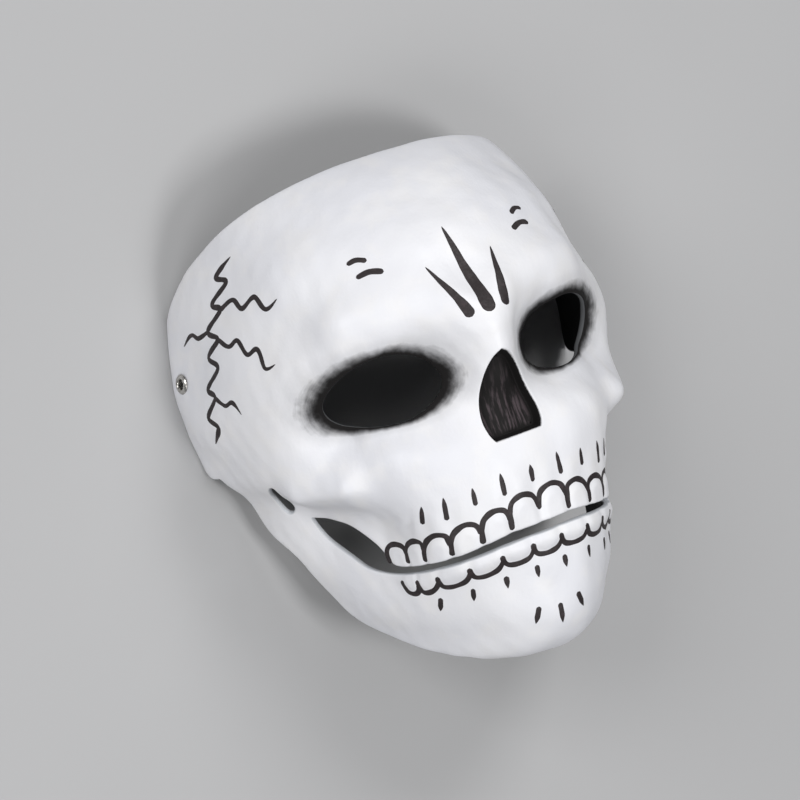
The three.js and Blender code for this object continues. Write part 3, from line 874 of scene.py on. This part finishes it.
def skin_mesh():
    free = skin_places()
    loops = edges + rings
    places = np.vstack(loops + [free])
    constraints, start, spans = [], 0, []
    for loop in loops:
        index = np.arange(start, start + len(loop))
        constraints += list(zip(index.tolist(), np.roll(index, -1).tolist()))
        spans.append(index)
        start += len(loop)
    charted = chart(places)
    found = delaunay_2d_cdt([Vector(p) for p in charted.tolist()], constraints, [], 0, 1e-6, True)
    origin = [ids[0] if ids else -1 for ids in found[3]]
    triangles = np.array([[origin[v] for v in f] for f in found[2]])
    triangles = triangles[(triangles >= 0).all(1)]
    middles = charted[triangles].mean(1)
    keep = inside(charted[spans[0]], middles)
    for span in spans[1:len(edges)]:
        keep &= ~inside(charted[span], middles)
    triangles = triangles[keep]
    used = np.zeros(len(places), bool)
    used[triangles] = True
    return places, triangles, spans[:len(edges)], used


def closed_skin():
    places, triangles, spans, used = skin_mesh()
    outside, within = outer(*places.T), inner(*places.T)
    a, b, c = (outside[triangles[:, k]] for k in range(3))
    facing = (np.cross(b - a, c - a) * normal_of(face, *places[triangles[:, 0]].T)).sum(1)
    if np.median(facing) < 0:
        triangles = triangles[:, ::-1]
    count = len(places)
    points = [outside, within]
    faces = triangles.tolist() + (triangles[:, ::-1] + count).tolist()
    directed = set(zip(triangles.ravel().tolist(), np.roll(triangles, -1, 1).ravel().tolist()))
    lip_share = [np.zeros(count), np.zeros(count)]
    # Where the painted shade goes: all of the inside sheet, none of the outer sheet
    painted_inside_shade = [np.zeros(count), np.ones(count)]
    total = 2 * count
    for span, (_, _, grows) in zip(spans, cuts):
        loop = places[span]
        towards = sideways(loop) * LIP_BULGE
        grown = area_of(step_on_face(loop, towards)) > area_of(loop)
        if grown == grows:
            towards = -towards
        centre, half = (outside[span] + within[span]) / 2, (outside[span] - within[span]) / 2
        ring_index = [span]
        for k in range(1, LIP_STEPS):
            angle = math.pi / 2 - math.pi * k / LIP_STEPS
            up = math.copysign(abs(math.sin(angle)) ** LIP_SQUARE, LIP_STEPS - 2 * k)
            points.append(centre + half * up + towards * math.cos(angle) ** LIP_SQUARE)
            ring_index.append(np.arange(total, total + len(span)))
            lip_share.append(np.full(len(span), 1.0 if k > 1 else 0.6))
            # The last lip step before the inside sheet takes half of the painted shade
            painted_inside_shade.append(np.full(len(span), 0.0 if k < LIP_STEPS - 1 else 0.5))
            total += len(span)
        ring_index.append(span + count)
        forward = (int(span[0]), int(span[1])) in directed
        for upper, lower in zip(ring_index, ring_index[1:]):
            after_upper, after_lower = np.roll(upper, -1), np.roll(lower, -1)
            quads = np.stack([upper, after_upper, after_lower, lower], 1)
            if forward:
                quads = quads[:, ::-1]
            faces += quads.tolist()
    used = np.concatenate([used, used, np.ones(total - 2 * count, bool)])
    renumber = np.cumsum(used) - 1
    faces = [[int(renumber[v]) for v in f] for f in faces]
    table = {
        "points": np.vstack(points)[used],
        "cut_edge": np.concatenate(lip_share)[used],
        "painted_inside_shade": np.concatenate(painted_inside_shade)[used],
    }
    return table, faces


# How far the black reaches from the eye hole on each of its sides, in millimetres
EYE_OUTER, EYE_INNER, EYE_UPPER, EYE_LOWER = 13.0, 8.5, 5.4, 2.6


def eye_attributes(points):
    """Distance from the eye hole, how far the black reaches there, and the direction round the hole."""
    mirrored = np.stack([np.abs(points[:, 0]), points[:, 1]], 1)
    away = np.where(inside(EYE_LINE, mirrored), 0, distance_to(EYE_LINE, mirrored))
    tilt = math.radians(EYE_TILT)
    turned = (mirrored - [EYE_SPACING / 2, -EYE_DROP]) @ np.array([
        [math.cos(tilt), -math.sin(tilt)], [math.sin(tilt), math.cos(tilt)]])
    out = unit(turned / [EYE_WIDTH, EYE_HEIGHT])
    ends = np.where(out[:, 0] > 0, EYE_OUTER, EYE_INNER) * out[:, 0] ** 2
    reach = ends + np.where(out[:, 1] > 0, EYE_UPPER, EYE_LOWER) * out[:, 1] ** 2
    return away, reach, out


table, skin_faces = closed_skin()
skin = add_mesh("mask_skin", table["points"], skin_faces, SKIN)
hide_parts("mask_shell")
away, reach, out = eye_attributes(table["points"])
for name, values in (
    ("eye_away", away), ("eye_reach", reach), ("eye_cos", out[:, 0]), ("eye_sin", out[:, 1]),
    ("nose_in", inside_nose(table["points"])),
    ("nose_low", (-NOSE_DROP - table["points"][:, 1]) / NOSE_HEIGHT),
    ("cut_edge", table["cut_edge"]), ("painted_inside_shade", table["painted_inside_shade"]),
):
    attribute = skin.data.attributes.new(name, "FLOAT", "POINT")
    attribute.data.foreach_set("value", np.asarray(values, np.float32))


# Eyelets: a rolled flange outside, a flatter rolled one inside and the barrel between them
def eyelet_profile():
    seat = WALL / 2 + 0.04
    bore_radius, barrel, flange = EYELET_BORE / 2, EYELET_BARREL / 2, EYELET_FLANGE / 2
    crest = (bore_radius + flange) / 2 - 0.25
    front = spline([
        (barrel, seat), (flange - 0.12, seat), (flange, seat + 0.18), (flange - 0.25, seat + 0.5),
        (crest + 0.5, seat + EYELET_LIP + 0.16), (crest - 0.1, seat + EYELET_LIP + 0.26),
        (bore_radius + 0.25, seat + EYELET_LIP - 0.02), (bore_radius, seat + 0.2),
    ], 4)
    back = spline([
        (bore_radius, -seat - 0.2), (bore_radius + 0.3, -seat - 0.75), (crest, -seat - EYELET_LIP - 0.1),
        (flange - 0.5, -seat - 0.55), (flange - 0.2, -seat - 0.15), (flange - 0.4, -seat), (barrel, -seat),
    ], 4)
    return np.vstack([front, back])


def add_eyelet(name, node, side):
    profile = eyelet_profile()
    axis = EYELET_NORMAL * [side, 1, 1]
    centre = EYELET_POINT * [side, 1, 1] - axis * WALL / 2
    ring = round_axis(axis, EYELET_SIDES)[:, None]
    points = centre + ring * profile[None, :, :1] + axis * profile[None, :, 1:]
    count = len(profile)
    faces = []
    for i in range(EYELET_SIDES):
        for j in range(count):
            k, m = (i + 1) % EYELET_SIDES, (j + 1) % count
            faces.append([i * count + j, k * count + j, k * count + m, i * count + m])
    piece = add_mesh(name, points.reshape(-1, 3), faces, NICKEL)
    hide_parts(node)


add_eyelet("rolled_eyelet_left", "eyelet_left", -1)
add_eyelet("rolled_eyelet_right", "eyelet_right", 1)


# Painted lines: low closed strips that follow the skin
STRIP_ACROSS = np.array([-1, -0.86, -0.5, 0, 0.5, 0.86, 1])
STRIP_HEIGHT = np.array([0.04, 0.09, 0.12, 0.13, 0.12, 0.09, 0.04])
STRIP_SUNK = -0.25
STRIP_STEP = 0.55
STRIP_BUNCH = 0.35  # how far its cross sections crowd towards its ends
TAPER_TIP = 0.12
WOBBLES = ((2.1, 0.08), (0.9, 0.05))  # how slowly the width wavers, and by how much
line_random = np.random.default_rng(5)


def strip(places, width, taper=(0, 0)):
    """Points and faces of one painted line along turns and stations; taper thins its ends out."""
    length = length_along(face(*places.T))
    count = max(7, round(length[-1] / STRIP_STEP))
    bunch = 0.5 - 0.5 * np.cos(np.linspace(0, math.pi, count))
    at = length[-1] * (STRIP_BUNCH * bunch + (1 - STRIP_BUNCH) * np.linspace(0, 1, count))
    places = sample(places, length, at)
    centre = face(*places.T)
    along = unit(np.gradient(centre, axis=0))
    normals = normal_of(face, *places.T)
    side = unit(np.cross(normals, along))
    phase = line_random.uniform(0, 6.28, 3)
    half = width / 2
    for start, (pace, height) in zip(phase, WOBBLES):
        half = half + height * np.sin(at / pace + start)
    for end, distance in ((0, at), (1, length[-1] - at)):
        if taper[end]:
            half = half * (TAPER_TIP + (1 - TAPER_TIP) * np.clip(distance / taper[end], 0, 1) ** 0.8)
        tip = np.clip(1 - distance / (0.5 * width), 0, 1)
        half = half * np.sqrt(np.maximum(1 - tip**2, 0.01))
    rows = []
    for across, height in zip(STRIP_ACROSS, STRIP_HEIGHT):
        spot = step_on_face(places, side * (across * half)[:, None])
        rows.append(outer(*spot.T) + normals * height)
    for across in (1, -1):
        spot = step_on_face(places, side * (across * half)[:, None])
        rows.append(outer(*spot.T) + normals * STRIP_SUNK)
    points = np.stack(rows, 1)
    ring = len(rows)
    faces = []
    for i in range(count - 1):
        for j in range(ring):
            k = (j + 1) % ring
            faces.append([i * ring + j, i * ring + k, (i + 1) * ring + k, (i + 1) * ring + j])
    faces.append(list(range(ring))[::-1])
    faces.append([(count - 1) * ring + j for j in range(ring)])
    return points.reshape(-1, 3), faces


def add_lines(name, strips):
    points, faces, start = [], [], 0
    for strip_points, strip_faces in strips:
        points.append(strip_points)
        faces += [[v + start for v in f] for f in strip_faces]
        start += len(strip_points)
    return add_mesh(name, np.vstack(points), faces, MARKER)


def x_at(arc):
    return np.sign(arc) * np.interp(np.abs(arc), arc_length, arc_x)


def front_strip(points, width, taper=(0, 0)):
    return strip(locate_front(dense(spline(points, 8), 0.5)), width, taper)


def tooth_strip(arcs, heights, width, taper=(0, 0)):
    """A line over the teeth: arcs from the midline, heights above the upper or below the lower edge."""
    xs = x_at(arcs)
    side = 1 if heights[0] > 0 else -1
    return front_strip(np.stack([xs, mouth_edge(xs, side) + heights], 1), width, taper)


# The arches as shares of a tooth's width and height, and how far the lines stay off the slit
UPPER_ARCH = np.array([(0, 0.04), (0, 0.35), (0.03, 0.6), (0.16, 0.87), (0.5, 1), (0.84, 0.87), (0.97, 0.6),
                       (1, 0.42)])
LOWER_ARCH = np.array([(0, 0.28), (0.02, 0.58), (0.14, 0.88), (0.45, 1), (0.8, 0.93), (0.97, 0.68), (1, 0.5)])
LAST_SIDE = np.array([0.05, 0.3, 0.5])
OFF_SLIT = 0.6
UPPER_LINE, LAST_LINE, LOWER_LINE = 2.3, 2.1, 2.2


def teeth_lines():
    lines = []
    for sign in (-1, 1):
        for tooth, height in enumerate(UPPER_HEIGHTS):
            low, high = upper_gaps[tooth:tooth + 2][::sign]
            share, up = (UPPER_ARCH[1:] if sign > 0 and tooth == 0 else UPPER_ARCH).T
            arcs = sign * (low + share * (high - low))
            arcs = arcs + line_random.uniform(-0.2, 0.2, len(arcs))
            heights = OFF_SLIT + up * (height + line_random.uniform(-0.3, 0.3))
            lines.append(tooth_strip(arcs, heights, UPPER_LINE))
    heights = OFF_SLIT + LAST_SIDE * UPPER_HEIGHTS[-1]
    lines.append(tooth_strip(np.full(3, upper_gaps[-1]), heights, LAST_LINE))
    for low in lower_width * (np.arange(LOWER_TEETH) - LOWER_TEETH / 2):
        share, down = LOWER_ARCH.T
        arcs = low + share * lower_width + line_random.uniform(-0.15, 0.15, len(share))
        lines.append(tooth_strip(arcs, -OFF_SLIT - down * LOWER_HEIGHT, LOWER_LINE))
    return lines


UPPER_ROOTS = [(16.4, 7.2), (15.2, 9.2)]  # start above the slit and length, at even and odd gaps
LOWER_ROOTS = (LOWER_HEIGHT + 3.8, 5.2)


def root_lines():
    """Short lines above and below the teeth, in line with the gaps between them."""
    lines = []
    for sign in (-1, 1):
        for number, arc in enumerate(upper_gaps[:-2]):
            if number or sign > 0:
                start, length = UPPER_ROOTS[number % 2]
                arcs = np.full(3, sign * arc)
                lines.append(tooth_strip(arcs, start + np.linspace(0, length, 3), 2.0, (0, 2.5)))
        for number in range(1, 5):
            start, length = LOWER_ROOTS
            arcs = np.full(3, sign * (number - 0.5) * lower_width)
            lines.append(tooth_strip(arcs, -start - np.linspace(0, length, 3), 2.2, (0, 2.4)))
    return lines


# Painted lines in the front view: points, width, how far each end thins out
CENTRE_RAY = [(0, 10), (0.4, 22), (-0.3, 47)], 6.0, (0, 36)
SIDE_RAY = [(7.5, 10.5), (10, 19), (15, 34)], 4.2, (0, 23)
BROW_STROKES = [
    # x, y, length, width
    (30, 37.5, 10, 2.5),
    (33.5, 43.5, 7, 2.1),
]
CHIN_STROKES = [
    # x, y, lean, length
    (-9, -108, -2.2, 6.5),
    (0, -109.5, 0, 8),
    (9, -108, 2.2, 6.5),
]


def brow_marks():
    """Three frown rays above the bridge, and two short strokes over each brow."""
    lines = [front_strip(*CENTRE_RAY)]
    for sign in (-1, 1):
        points, width, taper = SIDE_RAY
        lines.append(front_strip(np.array(points) * [sign, 1], width, taper))
        for x, y, length, width in BROW_STROKES:
            arc = [(sign * x, y), (sign * (x + length / 2), y + 1.6), (sign * (x + length), y + 0.8)]
            lines.append(front_strip(arc, width))
    return lines


# Sutures of the temple in the side view: height above the bridge, and rise
SUTURES = [
    ([(61, 45), (55, 38), (52, 44), (45, 36), (42, 41), (35, 32), (31, 38), (25, 30), (20, 36), (13, 27),
      (9, 32), (2, 25), (-3, 30), (-9, 23)], 2.3, (6, 6)),
    ([(35, 32), (33.5, 25), (35.5, 20), (32, 13)], 1.9, (0, 7)),
    ([(42, 41), (44.5, 48), (40, 53), (43, 59), (37, 64), (39.5, 69)], 2.1, (0, 7)),
    ([(31, 38), (27, 44), (28.5, 49), (22, 53), (23, 58), (15, 61), (15.5, 66)], 2.0, (0, 7)),
    ([(9, 32), (5, 38), (5.5, 43), (0, 47)], 1.8, (0, 6)),
]


def temple_lines():
    lines = []
    for sign in (-1, 1):
        for points, width, taper in SUTURES:
            places = locate(SIDE_VIEW, dense(spline(points, 8), 0.5))
            lines.append(strip(places * [sign, 1], width, taper))
    return lines


def chin_marks():
    lines = []
    for x, y, lean, length in CHIN_STROKES:
        points = [(x, y), (x + lean / 2, y - length / 2), (x + lean, y - length)]
        lines.append(front_strip(points, 2.2, (0, 3)))
    return lines


add_lines("tooth_outlines", teeth_lines())
add_lines("root_lines", root_lines())
add_lines("brow_marks", brow_marks())
add_lines("temple_sutures", temple_lines())
add_lines("chin_marks", chin_marks())


# Floor, light and camera
def floor():
    mesh = bpy.data.meshes.new("floor")
    reach, low = 6.0, -0.0002
    corners = [(-reach, -reach, low), (reach, -reach, low), (reach, reach, low), (-reach, reach, low)]
    mesh.from_pydata(corners, [], [(0, 1, 2, 3)])
    g = Graph("floor_paint")
    tone = g.mix(g.ramp(g.noise(3, 3), 0.3, 0.7), FLOOR_LIGHT, FLOOR_DARK)
    g.shade("Base Color", tone)
    g.shade("Roughness", 0.7)
    mesh.materials.append(g.material)
    add_object("floor", mesh)


# Soft lights well off the camera's line, so that they don't shine where it looks through the holes
LIGHTS = [
    # name, place, size, power
    ("key", (-1.15, 0.7, 1.1), 0.8, 11.5),
    ("left", (-0.9, -0.55, 1.2), 0.6, 6),
    ("crown", (0.6, 0.9, 1.2), 0.6, 9.5),
    ("chin", (0.25, -0.48, 1.5), 0.4, 9.5),
]
WORLD_COLOUR = (0.95, 0.97, 1.0, 1)
WORLD_STRENGTH = 0.11


def area_light(name, place, size, power, target=(0, 0, 0.06)):
    light = bpy.data.lights.new(name, "AREA")
    light.shape = "SQUARE"
    light.size = size
    light.energy = power
    lamp = add_object(name, light)
    lamp.location = place
    lamp.rotation_mode = "QUATERNION"
    lamp.rotation_quaternion = (Vector(target) - Vector(place)).to_track_quat("-Z", "Y")


CAMERA_YAW = math.radians(26.62)
CAMERA_PITCH = math.radians(3.09)
CAMERA_ROLL = math.radians(17.72)
CAMERA_DISTANCE = 1150
CAMERA_FOCUS = 2930.7  # pixels of an 800 pixel frame
CAMERA_MIDDLE = (486.25, 338.56)  # pixel where the target shows
FRAME_SIDE = 800
CAMERA_TARGET = np.array([0, 0, 104.0])


def camera():
    data = bpy.data.cameras.new("camera")
    data.sensor_width = 36
    data.lens = data.sensor_width * CAMERA_FOCUS / FRAME_SIDE
    data.shift_x = -(CAMERA_MIDDLE[0] - FRAME_SIDE / 2) / FRAME_SIDE
    data.shift_y = -(FRAME_SIDE / 2 - CAMERA_MIDDLE[1]) / FRAME_SIDE
    data.clip_start, data.clip_end = 0.05, 50
    back = np.array([-math.sin(CAMERA_YAW) * math.cos(CAMERA_PITCH), math.sin(CAMERA_PITCH),
                     math.cos(CAMERA_YAW) * math.cos(CAMERA_PITCH)])
    right = unit(np.cross([0, 1, 0], back))
    up = np.cross(back, right)
    turned = right * math.cos(CAMERA_ROLL) - up * math.sin(CAMERA_ROLL)
    upright = up * math.cos(CAMERA_ROLL) + right * math.sin(CAMERA_ROLL)
    place = placed(CAMERA_TARGET + back * CAMERA_DISTANCE)
    rows = np.eye(4)
    rows[:3, 0], rows[:3, 1], rows[:3, 2], rows[:3, 3] = turned, upright, back, place
    piece = add_object("camera", data)
    piece.matrix_world = Matrix(rows.tolist())
    bpy.context.scene.camera = piece


floor()
for light in LIGHTS:
    area_light(*light)
world = bpy.data.worlds.new("studio")
world.use_nodes = True
world.node_tree.nodes["Background"].inputs["Color"].default_value = WORLD_COLOUR
world.node_tree.nodes["Background"].inputs["Strength"].default_value = WORLD_STRENGTH
bpy.context.scene.world = world
bpy.context.scene.view_settings.view_transform = "Standard"
camera()
